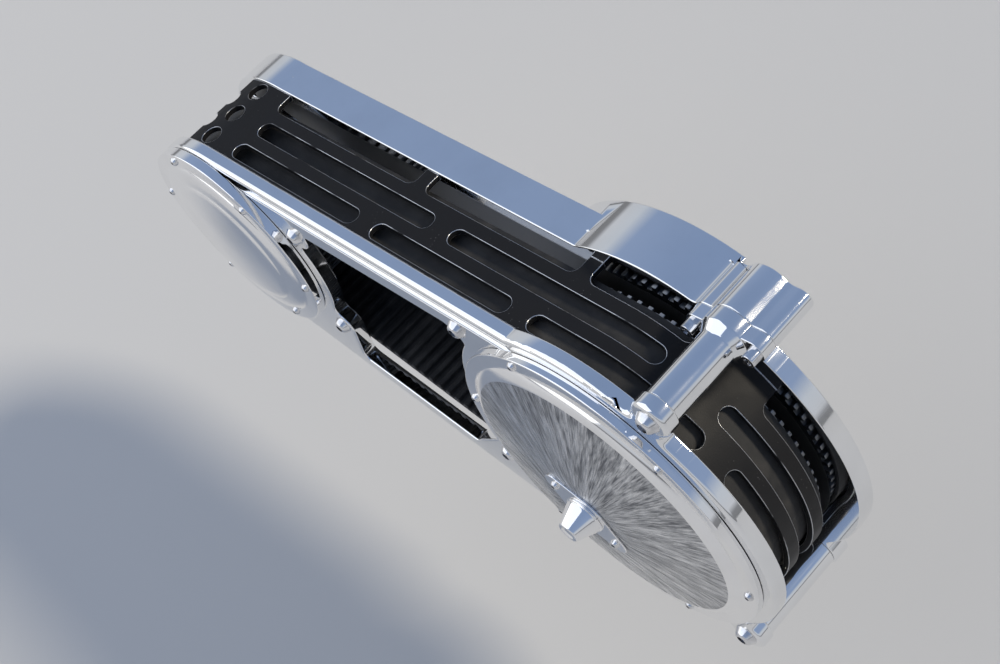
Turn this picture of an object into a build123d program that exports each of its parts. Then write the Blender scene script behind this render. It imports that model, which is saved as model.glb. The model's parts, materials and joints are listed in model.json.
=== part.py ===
"""Open primary belt drive of a custom motorcycle, left side, with its plates, guard and covers.

The frame: X runs rearwards from the crankshaft to the clutch, Z is up, and Y points inboard,
towards the engine. The origin is on the crankshaft's axis, in the face of the motor plate that
bolts to the engine. "Out" in the names below is a distance outboard of that face, along -Y.
"""
from build123d import *
import math
import os

os.makedirs("parts", exist_ok=True)

# Belt and pulleys
centre_distance = 330.0
belt_pitch = 8.0
front_teeth = 47
rear_teeth = 76
belt_width = 48.0
belt_back = 2.2
belt_inner_skin = 0.4
belt_root_sink = 0.2
belt_tooth_height = 3.0
belt_tooth_root = 5.0
belt_tooth_tip = 3.2
belt_tooth_room = 2.0
pulley_tip_drop = 0.7
pulley_groove_depth = 3.6
pulley_groove_mouth = 5.6
pulley_groove_floor = 3.8
belt_side_clearance = 0.3
drum_plate_gap = 5.0
drum_overhang = 3.0
pulley_plate_gap = 5.0

# Plates, from the engine outwards
motor_bar_depth = 25.0
crown_depth = 38.0
foot_pad_depth = 31.0
motor_web = 12.0
plate_gap = 59.0
outer_plate_thickness = 10.0
gasket_thickness = 1.0

# Outer plate outline, set out from the guard
plate_rise = 1.5
outer_rear_set_out = 10.0
lower_front_growth = 14.0
lower_rail_lean = 4.06
front_ring_radius = 82.0
front_ring_width = 22.0
rear_ring_width = 23.0
outer_edge_round = 3.0
window_top_height = 46.5
window_top_lean = 6.44
lower_rail_height = 11.0
ear_radius = 11.0
ear_set_out = 9.0
ear_front_angle = 32.5
ear_rear_angle = 142.5
ear_rear_lower_angle = 146.5
ear_front_foot = 72.5
ear_rear_foot = 203.0
window_corner_radius = 6.0
groove_width = 11.0
groove_depth = 3.0
groove_set_down = 8.75
groove_start = 4.0
groove_end = 280.0

# Motor plate outline, set from the outer plate's
motor_rear_margin = 4.0
motor_rim_wall = 9.0
crown_wall = 20.0
crown_start = 76.0
crown_end = 150.0
crown_joint_angle = 119.0
crank_opening_radius = 40.0
crank_boss_wall = 10.0
mainshaft_opening_radius = 35.0
mainshaft_boss_wall = 12.0
mainshaft_boss_height = 6.0
engine_bolt_circle = 128.0
engine_bolt_count = 4
engine_bolt_boss = 10.0
gearbox_bolt_circle = 164.0
gearbox_bolt_count = 4
bolt_start_angle = 45.0
plate_bolt_radius = 4.2

# Covers
rear_cover_set_back = 8.0
rear_cover_flange_width = 9.0
rear_cover_step_width = 7.0
rear_cover_flat_radius = 31.0
cover_flange = 5.0
rear_cover_step_rise = 4.0
rear_cover_cone_rise = 12.0
cover_wall = 3.0
front_cover_set_back = 8.0
front_cover_flange_width = 9.0
front_cover_dish_width = 13.0
front_cover_dish_rise = 2.5
front_cover_raised_width = 5.0
front_cover_raised_rise = 3.5
nose_flange_thickness = 4.0
nose_flange_middle = 14.5
nose_flange_end = 6.5
nose_screw_reach = 21.0
nose_angle = 145.0
nose_base_radius = 13.0
nose_tip_radius = 8.5
nose_length = 12.0

# Guard: its path runs from the front tangent line over the top and round the rear
guard_front_room = 7.0
guard_rear_room = 2.0
guard_wall = 4.0
guard_front_x = -32.0
guard_rear_end = -62.0
guard_slot_width = 12.0
guard_row_pitch = 21.0
guard_front_hole = 7.0
guard_front_hole_angle = 101.5
guard_scallop = 6.0
guard_slot_table = [
    # row (outboard = 1, inboard = -1), start and end along the guard's path
    (1, 19.0, 140.0),
    (1, 155.0, 271.0),
    (1, 287.0, 409.0),
    (1, 429.0, 549.0),
    (0, 21.0, 186.0),
    (0, 202.0, 365.0),
    (0, 404.0, 567.0),
    (-1, 18.0, 152.0),
    (-1, 162.0, 287.0),
    (-1, 297.0, 371.0),
    (-1, 419.0, 560.0),
]

# Standoffs between the two plates
standoff_radius = 11.0
standoff_boss_radius = 12.5
neck_width = 19.0
neck_root = 8.0
corner_radius = 6.0
standoff_fillet = 6.0
rear_top_set_out = 14.9
rear_top_angle = 66.2
rear_bottom_set_out = 9.7
rear_bottom_angle = -48.9
foot_thickness = 9.0
foot_middle_radius = 14.5
foot_end_reach = 19.0
foot_end_radius = 7.0
foot_angle = 10.0
front_post_radius = 8.0
front_post_room = 1.5
front_post_angles = (235.0, 268.0)

# Pulleys and clutch
flange_thickness = 1.5
flange_overhang = 3.4
flange_hub_gap = 3.0
web_root = 1.0
front_hub_radius = 30.0
front_web = 14.0
front_ring_wall = 9.0
crank_bore_radius = 13.0
crank_nut_across = 38.0
crank_nut_height = 14.0
drum_ring_wall = 5.0
drum_web = 8.0
clutch_hub_radius = 30.0
mainshaft_bore_radius = 12.5
clutch_pack_fit = 0.5
clutch_pack_length = 40.0
pressure_plate_inset = 6.0
pressure_plate_thickness = 8.0
mainshaft_bearing_fit = 0.02
mainshaft_bearing_inner = 22.0
hub_neck_clearance = 0.05
hub_neck_set_back = 2.0

# Places that follow from the sizes above
front_pitch_radius = front_teeth * belt_pitch / (2 * math.pi)
rear_pitch_radius = rear_teeth * belt_pitch / (2 * math.pi)
belt_front_radius = front_pitch_radius + belt_back
belt_rear_radius = rear_pitch_radius + belt_back
guard_front_radius = belt_front_radius + guard_front_room + guard_wall
guard_rear_radius = belt_rear_radius + guard_rear_room + guard_wall
outer_front_radius = guard_front_radius + plate_rise
outer_upper_radius = guard_rear_radius + plate_rise
outer_rear_radius = guard_rear_radius + outer_rear_set_out
motor_front_radius = outer_front_radius
motor_rear_radius = outer_rear_radius + motor_rear_margin
front_ring_bore = front_ring_radius - front_ring_width
rear_ring_bore = outer_rear_radius - rear_ring_width
motor_face = motor_bar_depth
web_back = motor_face - motor_web
crown_back = motor_face - crown_depth
foot_pad_back = motor_face - foot_pad_depth
outer_back = motor_face + plate_gap
outer_face = outer_back + outer_plate_thickness
cover_seat = outer_face + gasket_thickness
guard_middle = motor_face + plate_gap / 2
drum_inboard = motor_face + drum_plate_gap
belt_inboard = drum_inboard + drum_overhang
belt_outboard = belt_inboard + belt_width
front_inboard = belt_inboard - belt_side_clearance
pulley_outboard = outer_back - pulley_plate_gap
front_width = pulley_outboard - front_inboard
drum_width = pulley_outboard - drum_inboard
front_tip_radius = front_pitch_radius - pulley_tip_drop
rear_tip_radius = rear_pitch_radius - pulley_tip_drop


def at(out):
    """A sketch plane that faces outboard, this far out from the engine face."""
    return Plane.XZ.offset(out)


def lean(front_r, rear_r):
    """The angle between a loop's straight runs and the X axis."""
    return math.asin((rear_r - front_r) / centre_distance)


def run_ends(front_r, rear_r):
    """Where the upper straight run of a loop round both shafts starts and ends."""
    tilt = lean(front_r, rear_r)
    front = (-front_r * math.sin(tilt), front_r * math.cos(tilt))
    rear = (centre_distance - rear_r * math.sin(tilt), rear_r * math.cos(tilt))
    return front, rear


def loop_shape(front_r, rear_r):
    """The filled outline of a loop drawn tight round a circle on each shaft."""
    (fx, fz), (rx, rz) = run_ends(front_r, rear_r)
    with BuildSketch() as loop:
        Circle(front_r)
        with Locations((centre_distance, 0)):
            Circle(rear_r)
        with BuildLine():
            Polyline((fx, fz), (rx, rz), (rx, -rz), (fx, -fz), close=True)
        make_face()
    return loop.sketch


def on_circle(centre_x, radius, angle):
    """A point on a circle round one of the shafts, with the angle counted up from +X."""
    turn = math.radians(angle)
    return centre_x + radius * math.cos(turn), radius * math.sin(turn)


def finish(name, builder):
    """Label a finished piece and write its file."""
    builder.part.label = name
    export_step(builder.part, f"parts/{name}.step")


def smooth_corners(radius):
    """Round the inward corners of the sketch being built, as a cutter of this radius leaves them."""
    offset(amount=radius)
    offset(amount=-radius)


def smooth_opening(radius):
    """Round the corners of an opening that is being sketched, as a cutter of this radius leaves them."""
    offset(amount=-radius)
    offset(amount=radius)


front_axis = Axis((0, 0, 0), (0, 1, 0))
rear_axis = Axis((centre_distance, 0, 0), (0, 1, 0))
front_post_reach = belt_front_radius + front_post_room + front_post_radius
front_posts = [on_circle(0, front_post_reach, angle) for angle in front_post_angles]
rear_standoff_table = [
    # set out from the outer plate's rear ring, angle
    (rear_top_set_out, rear_top_angle),
    (rear_bottom_set_out, rear_bottom_angle),
]
standoff_points = [
    on_circle(centre_distance, outer_rear_radius + set_out, angle)
    for set_out, angle in rear_standoff_table
]
rear_top_standoff, rear_bottom_standoff = standoff_points

# Both plates' lower edge falls less steeply than the upper one rises, from a wider front corner.
lower_front_radius = outer_front_radius + lower_front_growth
lower_tilt = math.radians(lower_rail_lean)
lower_touch = on_circle(lower_front_growth, lower_front_radius, 270 - lower_rail_lean)


def lower_edge_z(x):
    """Height of the outer plate's straight lower edge at x."""
    return -lower_front_radius / math.cos(lower_tilt) - (x - lower_front_growth) * math.tan(lower_tilt)


with BuildSketch() as lower_front_corner:
    with Locations((lower_front_growth, 0)):
        Circle(lower_front_radius)
        Rectangle(
            lower_front_radius, lower_front_radius, align=(Align.MAX, Align.MAX), mode=Mode.INTERSECT
        )

# Motor plate: a thin web over the whole outline, deep at the rim of the front half, deeper
# under the crown and behind the standoff's foot.
bar_tilt = math.tan(lean(guard_front_radius, guard_rear_radius))
bar_top_front = guard_front_radius + plate_rise
crown_joint = on_circle(centre_distance, motor_rear_radius - motor_rim_wall, crown_joint_angle)
bar_top_rear = bar_top_front + bar_tilt * crown_joint[0]
lower_joint = on_circle(centre_distance, motor_rear_radius, -crown_joint_angle)
with BuildSketch() as motor_bar:
    with BuildLine():
        Polyline(
            (0, bar_top_front),
            (crown_joint[0], bar_top_rear),
            (crown_joint[0], lower_joint[1]),
            lower_touch,
            (lower_front_growth, 0),
            close=True,
        )
    make_face()
    Circle(motor_front_radius)
    add(lower_front_corner.sketch)

with BuildSketch() as crown_sector:
    crown_far = 2 * motor_rear_radius
    crown_middle = (crown_start + crown_end) / 2
    with BuildLine():
        Polyline(
            (centre_distance, 0),
            on_circle(centre_distance, crown_far, crown_start),
            on_circle(centre_distance, crown_far, crown_middle),
            on_circle(centre_distance, crown_far, crown_end),
            close=True,
        )
    make_face()
    with Locations((centre_distance, 0)):
        Circle(motor_rear_radius, mode=Mode.INTERSECT)
        Circle(motor_rear_radius - crown_wall, mode=Mode.SUBTRACT)

with BuildSketch() as foot_pad:
    with Locations(rear_top_standoff):
        Circle(foot_middle_radius)
        SlotCenterToCenter(2 * foot_end_reach, 2 * foot_end_radius, rotation=foot_angle)

with BuildSketch() as motor_openings:
    Circle(crank_opening_radius)
    with PolarLocations(engine_bolt_circle / 2, engine_bolt_count, start_angle=bolt_start_angle):
        Circle(plate_bolt_radius)
    with Locations((centre_distance, 0)):
        Circle(mainshaft_opening_radius)
        with PolarLocations(gearbox_bolt_circle / 2, gearbox_bolt_count, start_angle=bolt_start_angle):
            Circle(plate_bolt_radius)

with BuildPart() as motor_plate:
    with BuildSketch(at(web_back)):
        add(motor_bar.sketch)
        add(foot_pad.sketch)
        with Locations((centre_distance, 0)):
            Circle(motor_rear_radius)
        with Locations(*standoff_points):
            Circle(standoff_boss_radius)
        smooth_corners(corner_radius)
        add(motor_openings.sketch, mode=Mode.SUBTRACT)
    extrude(amount=motor_web)
    # deep rim of the front half, with bosses round the crankshaft and its bolts
    with BuildSketch(at(0)):
        add(motor_bar.sketch)
        offset(amount=-motor_rim_wall, mode=Mode.SUBTRACT)
        Circle(crank_opening_radius + crank_boss_wall)
        with PolarLocations(engine_bolt_circle / 2, engine_bolt_count, start_angle=bolt_start_angle):
            Circle(engine_bolt_boss)
        add(motor_openings.sketch, mode=Mode.SUBTRACT)
    extrude(amount=web_back)
    with BuildSketch(at(crown_back)):
        add(crown_sector.sketch)
    extrude(amount=crown_depth - motor_web)
    with BuildSketch(at(foot_pad_back)):
        add(crown_sector.sketch)
        add(foot_pad.sketch)
        smooth_corners(corner_radius)
    extrude(amount=foot_pad_depth - motor_web)
    # boss round the mainshaft
    with BuildSketch(at(web_back - mainshaft_boss_height)):
        with Locations((centre_distance, 0)):
            Circle(mainshaft_opening_radius + mainshaft_boss_wall)
            Circle(mainshaft_opening_radius, mode=Mode.SUBTRACT)
    extrude(amount=mainshaft_boss_height)
finish("motor_plate", motor_plate)

# Outer plate: two rings joined by an upper and a lower rail round an open window.
outer_tilt = math.tan(lean(outer_front_radius, outer_upper_radius))
(outer_fx, outer_fz), _ = run_ends(outer_front_radius, outer_upper_radius)


def outer_edge_z(x):
    """Height of the plate's straight upper edge at x."""
    return outer_fz + (x - outer_fx) * outer_tilt


def window_top_z(x):
    """Height of the window's straight upper edge at x."""
    return window_top_height + x * math.tan(math.radians(window_top_lean))


window_rear = centre_distance - outer_rear_radius / 2
window_rear_foot = ear_rear_foot + ear_radius
with BuildSketch() as outer_outline:
    add(loop_shape(outer_front_radius, outer_upper_radius))
    add(lower_front_corner.sketch)
    with Locations((centre_distance, 0)):
        Circle(outer_rear_radius)
    with BuildLine():
        Polyline(
            (lower_front_growth, 0),
            lower_touch,
            (centre_distance, lower_edge_z(centre_distance)),
            (centre_distance, 0),
            close=True,
        )
    make_face()
    with Locations(*standoff_points):
        Circle(standoff_boss_radius)
    for set_out, angle in rear_standoff_table:
        neck_middle = outer_rear_radius + (set_out - neck_root) / 2
        neck_x, neck_z = on_circle(centre_distance, neck_middle, angle)
        with Locations(Location((neck_x, neck_z, 0), (0, 0, angle))):
            Rectangle(set_out + neck_root, neck_width)
    smooth_corners(corner_radius)

# Ears for the screws stand in the window's corners; each lower one runs out into the rail.
front_ear_reach = front_ring_radius + ear_set_out
rear_ear_reach = outer_rear_radius + ear_set_out
upper_ears = [
    on_circle(0, front_ear_reach, ear_front_angle),
    on_circle(centre_distance, rear_ear_reach, ear_rear_angle),
]
lower_ear_table = [
    # ear, x of its foot in the rail
    (on_circle(0, front_ear_reach, -ear_front_angle), ear_front_foot),
    (on_circle(centre_distance, rear_ear_reach, -ear_rear_lower_angle), ear_rear_foot),
]
lower_ears = []
for ear, foot_x in lower_ear_table:
    with BuildSketch() as lower_ear:
        with Locations(ear, (foot_x, lower_edge_z(foot_x) + ear_radius)):
            Circle(ear_radius)
        make_hull()
    lower_ears.append(lower_ear.sketch)

with BuildSketch() as window:
    with BuildLine():
        Polyline(
            (ear_front_foot, window_top_z(ear_front_foot)),
            (window_rear, window_top_z(window_rear)),
            (window_rear_foot, lower_edge_z(window_rear_foot) + lower_rail_height),
            (ear_front_foot, lower_edge_z(ear_front_foot) + lower_rail_height),
            close=True,
        )
    make_face()
    Circle(front_ring_radius, mode=Mode.SUBTRACT)
    with Locations((centre_distance, 0)):
        Circle(outer_rear_radius, mode=Mode.SUBTRACT)
    with Locations(*upper_ears):
        Circle(ear_radius, mode=Mode.SUBTRACT)
    for ear_sketch in lower_ears:
        add(ear_sketch, mode=Mode.SUBTRACT)
    smooth_opening(window_corner_radius)

groove_middle_x = (groove_start + groove_end) / 2
groove_middle_z = outer_edge_z(groove_middle_x) - groove_set_down
groove_angle = math.degrees(math.atan(outer_tilt))
groove_length = (groove_end - groove_start) / math.cos(math.atan(outer_tilt))

with BuildPart() as outer_plate:
    with BuildSketch(at(outer_back)):
        add(outer_outline.sketch)
    extrude(amount=outer_plate_thickness)
    # the front edge is rounded all the way round
    fillet(outer_plate.faces().sort_by(Axis.Y)[0].edges(), radius=outer_edge_round)
    with BuildSketch(at(outer_back)):
        add(window.sketch)
        Circle(front_ring_bore)
        with Locations((centre_distance, 0)):
            Circle(rear_ring_bore)
    extrude(amount=outer_plate_thickness, mode=Mode.SUBTRACT)
    with BuildSketch(at(outer_face)):
        with Locations((groove_middle_x, groove_middle_z)):
            SlotOverall(groove_length, groove_width, rotation=groove_angle)
    extrude(amount=-groove_depth, mode=Mode.SUBTRACT)
finish("outer_plate", outer_plate)

# Covers: turned shells on a thin gasket, each a flange, a step and a raised middle.
rear_cover_radius = outer_rear_radius - rear_cover_set_back
rear_cover_step_radius = rear_cover_radius - rear_cover_flange_width
rear_cover_cone_radius = rear_cover_step_radius - rear_cover_step_width
rear_step_out = cover_seat + cover_flange
rear_cone_out = rear_step_out + rear_cover_step_rise
rear_flat_out = rear_cone_out + rear_cover_cone_rise

with BuildPart() as rear_cover:
    with BuildSketch(Plane.XY):
        with BuildLine():
            Polyline(
                (centre_distance, -rear_flat_out),
                (centre_distance + rear_cover_flat_radius, -rear_flat_out),
                (centre_distance + rear_cover_cone_radius, -rear_cone_out),
                (centre_distance + rear_cover_step_radius, -rear_step_out),
                (centre_distance + rear_cover_radius, -rear_step_out),
                (centre_distance + rear_cover_radius, -cover_seat),
                (centre_distance + rear_cover_cone_radius - cover_wall, -cover_seat),
                (centre_distance + rear_cover_cone_radius - cover_wall, cover_wall - rear_cone_out),
                (centre_distance + rear_cover_flat_radius, cover_wall - rear_flat_out),
                (centre_distance, cover_wall - rear_flat_out),
                close=True,
            )
        make_face()
    revolve(axis=rear_axis)
finish("rear_cover", rear_cover)

front_cover_radius = front_ring_radius - front_cover_set_back
front_cover_step_radius = front_cover_radius - front_cover_flange_width
front_cover_dish_radius = front_cover_step_radius - front_cover_dish_width
front_cover_raised_radius = front_cover_dish_radius - front_cover_raised_width
front_step_out = cover_seat + cover_flange
front_dish_out = front_step_out + front_cover_dish_rise
front_raised_out = front_dish_out + front_cover_raised_rise

with BuildPart() as front_cover:
    with BuildSketch(Plane.XY):
        with BuildLine():
            Polyline(
                (0, -front_raised_out),
                (front_cover_raised_radius, -front_raised_out),
                (front_cover_dish_radius, -front_dish_out),
                (front_cover_step_radius, -front_step_out),
                (front_cover_radius, -front_step_out),
                (front_cover_radius, -cover_seat),
                (front_ring_bore - cover_wall, -cover_seat),
                (front_ring_bore - cover_wall, cover_wall - front_step_out),
                (front_cover_raised_radius, cover_wall - front_dish_out),
                (front_cover_raised_radius - cover_wall, cover_wall - front_raised_out),
                (0, cover_wall - front_raised_out),
                close=True,
            )
        make_face()
    revolve(axis=front_axis)
finish("front_cover", front_cover)

gasket_table = [
    # name, shaft x, outer radius, inner radius
    ("front_cover_gasket", 0, front_cover_radius, front_ring_bore),
    ("rear_cover_gasket", centre_distance, rear_cover_radius, rear_ring_bore),
]
for name, shaft_x, outer_r, inner_r in gasket_table:
    with BuildPart() as gasket:
        with BuildSketch(at(outer_face)):
            with Locations((shaft_x, 0)):
                Circle(outer_r)
                Circle(inner_r, mode=Mode.SUBTRACT)
        extrude(amount=gasket_thickness)
    finish(name, gasket)

with BuildPart() as nose_flange:
    with BuildSketch(at(rear_flat_out)):
        with Locations((centre_distance, 0)):
            Circle(nose_flange_middle)
            SlotCenterToCenter(2 * nose_screw_reach, 2 * nose_flange_end, rotation=nose_angle)
    extrude(amount=nose_flange_thickness)
finish("nose_flange", nose_flange)

nose_base_out = rear_flat_out + nose_flange_thickness
with BuildPart() as nose_cone:
    with BuildSketch(Plane.XY):
        with BuildLine():
            Polyline(
                (centre_distance, -nose_base_out),
                (centre_distance + nose_base_radius, -nose_base_out),
                (centre_distance + nose_tip_radius, -nose_base_out - nose_length),
                (centre_distance, -nose_base_out - nose_length),
                close=True,
            )
        make_face()
    revolve(axis=rear_axis)
finish("nose_cone", nose_cone)

# Guard: one plate bent over the upper run and round behind the rear pulley, with staggered
# slots in three rows. The inboard row is open to the motor plate.
guard_tilt = lean(guard_front_radius, guard_rear_radius)
guard_lean = math.degrees(guard_tilt)
(guard_fx, guard_fz), _ = run_ends(guard_front_radius, guard_rear_radius)
guard_straight = centre_distance * math.cos(guard_tilt)
guard_cut_reach = 3 * guard_wall
guard_band = loop_shape(guard_front_radius, guard_rear_radius) - loop_shape(
    guard_front_radius - guard_wall, guard_rear_radius - guard_wall
)


def guard_angle(along):
    """The outward direction of the guard at a distance along its path, counted up from +X."""
    if along < 0:
        return 90 + guard_lean - math.degrees(along / guard_front_radius)
    if along < guard_straight:
        return 90 + guard_lean
    return 90 + guard_lean - math.degrees((along - guard_straight) / guard_rear_radius)


def guard_plane(along):
    """A plane on the guard's outer face: its x runs along the path, its y points inboard."""
    turn = math.radians(guard_angle(along))
    outward = (math.cos(turn), 0, math.sin(turn))
    if along < 0:
        origin = (guard_front_radius * outward[0], 0, guard_front_radius * outward[2])
    elif along < guard_straight:
        origin = (guard_fx + along * math.sin(turn), 0, guard_fz - along * math.cos(turn))
    else:
        origin = (centre_distance + guard_rear_radius * outward[0], 0, guard_rear_radius * outward[2])
    return Plane(origin=origin, x_dir=(math.sin(turn), 0, -math.cos(turn)), z_dir=outward)


def slot_across(row):
    """The inboard and outboard edges of a row of slots, as y on a guard plane."""
    middle = -(guard_middle + row * guard_row_pitch)
    inboard = -motor_face + guard_wall if row == -1 else middle + guard_slot_width / 2
    return inboard, middle - guard_slot_width / 2


guard_front_hole_along = -guard_front_radius * math.radians(guard_front_hole_angle - 90 - guard_lean)
guard_front_edge_angle = math.degrees(math.acos(guard_front_x / guard_front_radius))
guard_front_edge_along = -guard_front_radius * math.radians(guard_front_edge_angle - 90 - guard_lean)
round_length = guard_slot_width / 2

with BuildPart() as guard:
    with BuildSketch(at(motor_face)):
        add(guard_band)
        guard_far = 2 * guard_rear_radius
        with BuildLine():
            Polyline(
                (guard_front_x, 0),
                (centre_distance, 0),
                on_circle(centre_distance, guard_far, guard_rear_end),
                (centre_distance + guard_far, 0),
                (centre_distance + guard_far, guard_far),
                (guard_front_x, guard_far),
                close=True,
            )
        make_face(mode=Mode.INTERSECT)
    extrude(amount=plate_gap)
    for row, start, end in guard_slot_table:
        inboard, outboard = slot_across(row)
        width = inboard - outboard
        middle = (inboard + outboard) / 2
        straight_end = min(end - round_length, guard_straight)
        straight_start = min(start + round_length, guard_straight)
        # the slot's straight stretch
        if straight_end > straight_start:
            length = straight_end - straight_start
            with BuildSketch(guard_plane(straight_start).offset(-guard_cut_reach)):
                with Locations((length / 2, middle)):
                    Rectangle(length, width)
            extrude(amount=2 * guard_cut_reach, mode=Mode.SUBTRACT)
        # its stretch round the rear
        if end - round_length > guard_straight:
            first = guard_angle(max(start + round_length, guard_straight))
            last = guard_angle(end - round_length)
            turn = math.radians(first)
            arc_plane = Plane(
                origin=(centre_distance, 0, 0),
                x_dir=(math.cos(turn), 0, math.sin(turn)),
                z_dir=(-math.sin(turn), 0, math.cos(turn)),
            )
            with BuildSketch(arc_plane):
                with Locations((guard_rear_radius, middle)):
                    Rectangle(2 * guard_cut_reach, width)
            revolve(axis=rear_axis, revolution_arc=first - last, mode=Mode.SUBTRACT)
        # its round ends, square towards the motor plate in the open row
        for along in (start + round_length, end - round_length):
            with BuildSketch(guard_plane(along).offset(-guard_cut_reach)):
                with Locations((0, outboard + round_length)):
                    Circle(round_length)
                if row == -1:
                    with Locations((0, (inboard + outboard + round_length) / 2)):
                        Rectangle(guard_slot_width, inboard - outboard - round_length)
            extrude(amount=2 * guard_cut_reach, mode=Mode.SUBTRACT)
    # holes at the front, and a scalloped edge between them
    for row in (-1, 0, 1):
        with BuildSketch(guard_plane(guard_front_hole_along).offset(-guard_cut_reach)):
            with Locations((0, -(guard_middle + row * guard_row_pitch))):
                Circle(guard_front_hole)
        extrude(amount=2 * guard_cut_reach, mode=Mode.SUBTRACT)
    for between in (-0.5, 0.5):
        with BuildSketch(guard_plane(guard_front_edge_along).offset(-guard_cut_reach)):
            with Locations((0, -(guard_middle + between * guard_row_pitch))):
                Circle(guard_scallop)
        extrude(amount=2 * guard_cut_reach, mode=Mode.SUBTRACT)
finish("guard", guard)

# Standoffs: round posts between the plates; the rear top one flares into a two-screw foot.
standoff_table = [
    # name, place, radius, has a foot
    ("standoff_rear_top", rear_top_standoff, standoff_radius, True),
    ("standoff_rear_bottom", rear_bottom_standoff, standoff_radius, False),
    ("post_front", front_posts[0], front_post_radius, False),
    ("post_front_bottom", front_posts[1], front_post_radius, False),
]
for name, place, radius, has_foot in standoff_table:
    with BuildPart() as standoff:
        with BuildSketch(at(motor_face)):
            with Locations(place):
                Circle(radius)
        extrude(amount=plate_gap)
        if has_foot:
            with BuildSketch(at(motor_face)):
                add(foot_pad.sketch)
            extrude(amount=foot_thickness)
            flare_base = motor_face + foot_thickness
            with BuildSketch(at(flare_base)):
                with Locations(place):
                    Circle(foot_middle_radius)
            with BuildSketch(at(flare_base + standoff_fillet)):
                with Locations(place):
                    Circle(radius)
            loft()
    finish(name, standoff)

# Belt: one fixed loop. Its teeth stand on the straight runs; round the pulleys it is smooth.
belt_front_inner = front_pitch_radius - belt_inner_skin
belt_rear_inner = rear_pitch_radius - belt_inner_skin
belt_tilt = lean(front_pitch_radius, rear_pitch_radius)
run_length = centre_distance * math.cos(belt_tilt)
tooth_reach = belt_tooth_height + belt_tooth_room
front_clear = math.sqrt(2 * front_tip_radius * tooth_reach) + belt_pitch / 2
rear_clear = math.sqrt(2 * rear_tip_radius * tooth_reach) + belt_pitch / 2
tooth_count = int((run_length - front_clear - rear_clear) / belt_pitch) + 1
(belt_fx, belt_fz), _ = run_ends(belt_front_inner, belt_rear_inner)

with BuildPart() as belt:
    with BuildSketch(at(belt_inboard)):
        add(loop_shape(belt_front_radius, belt_rear_radius))
        add(loop_shape(belt_front_inner, belt_rear_inner), mode=Mode.SUBTRACT)
        for side in (1, -1):
            for index in range(tooth_count):
                along = front_clear + index * belt_pitch
                root_x = belt_fx + along * math.cos(belt_tilt)
                root_z = side * (belt_fz + along * math.sin(belt_tilt))
                with Locations(Location((root_x, root_z, 0), (0, 0, side * math.degrees(belt_tilt)))):
                    Polygon(
                        (-belt_tooth_root / 2, side * belt_root_sink),
                        (belt_tooth_root / 2, side * belt_root_sink),
                        (belt_tooth_tip / 2, -side * belt_tooth_height),
                        (-belt_tooth_tip / 2, -side * belt_tooth_height),
                        align=None,
                    )
    extrude(amount=belt_width)
finish("belt", belt)


def toothed_ring(shaft_x, teeth, tip_radius):
    """A pulley's toothed outline on its shaft: a disc with a groove for each belt tooth."""
    with BuildSketch() as ring:
        with Locations((shaft_x, 0)):
            Circle(tip_radius)
            with PolarLocations(tip_radius, teeth):
                Trapezoid(
                    pulley_groove_mouth,
                    2 * pulley_groove_depth,
                    math.degrees(math.atan(4 * pulley_groove_depth / (pulley_groove_mouth - pulley_groove_floor))),
                    rotation=90,
                    mode=Mode.SUBTRACT,
                )
    return ring.sketch


# Front pulley on the crankshaft, with its inboard side flange and its nut. The belt stands a
# little further out than both pulleys.
front_inner = front_tip_radius - pulley_groove_depth - front_ring_wall
with BuildPart() as front_pulley:
    with BuildSketch(at(front_inboard)):
        add(toothed_ring(0, front_teeth, front_tip_radius))
        Circle(front_inner, mode=Mode.SUBTRACT)
    extrude(amount=front_width)
    with BuildSketch(at(front_inboard + (front_width - front_web) / 2)):
        Circle(front_inner + web_root)
    extrude(amount=front_web)
    with BuildSketch(at(front_inboard)):
        Circle(front_hub_radius)
    extrude(amount=front_width)
    with BuildSketch(at(front_inboard)):
        Circle(crank_bore_radius)
    extrude(amount=front_width, mode=Mode.SUBTRACT)
finish("front_pulley", front_pulley)

with BuildPart() as front_pulley_flange:
    with BuildSketch(at(front_inboard - flange_thickness)):
        Circle(front_pitch_radius + flange_overhang)
        Circle(front_hub_radius + flange_hub_gap, mode=Mode.SUBTRACT)
    extrude(amount=flange_thickness)
finish("front_pulley_flange", front_pulley_flange)

with BuildPart() as crank_nut:
    with BuildSketch(at(pulley_outboard)):
        RegularPolygon(crank_nut_across / 2, 6, major_radius=False)
        Circle(crank_bore_radius, mode=Mode.SUBTRACT)
    extrude(amount=crank_nut_height)
finish("crank_nut", crank_nut)

# Clutch on the gearbox's mainshaft: toothed drum, hub, the pack as one block, pressure plate.
drum_inner = rear_tip_radius - pulley_groove_depth - drum_ring_wall
with BuildPart() as clutch_drum:
    with BuildSketch(at(drum_inboard)):
        add(toothed_ring(centre_distance, rear_teeth, rear_tip_radius))
        with Locations((centre_distance, 0)):
            Circle(drum_inner, mode=Mode.SUBTRACT)
    extrude(amount=drum_width)
    with BuildSketch(at(drum_inboard)):
        with Locations((centre_distance, 0)):
            Circle(drum_inner + web_root)
            Circle(clutch_hub_radius, mode=Mode.SUBTRACT)
    extrude(amount=drum_web)
finish("clutch_drum", clutch_drum)

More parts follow.
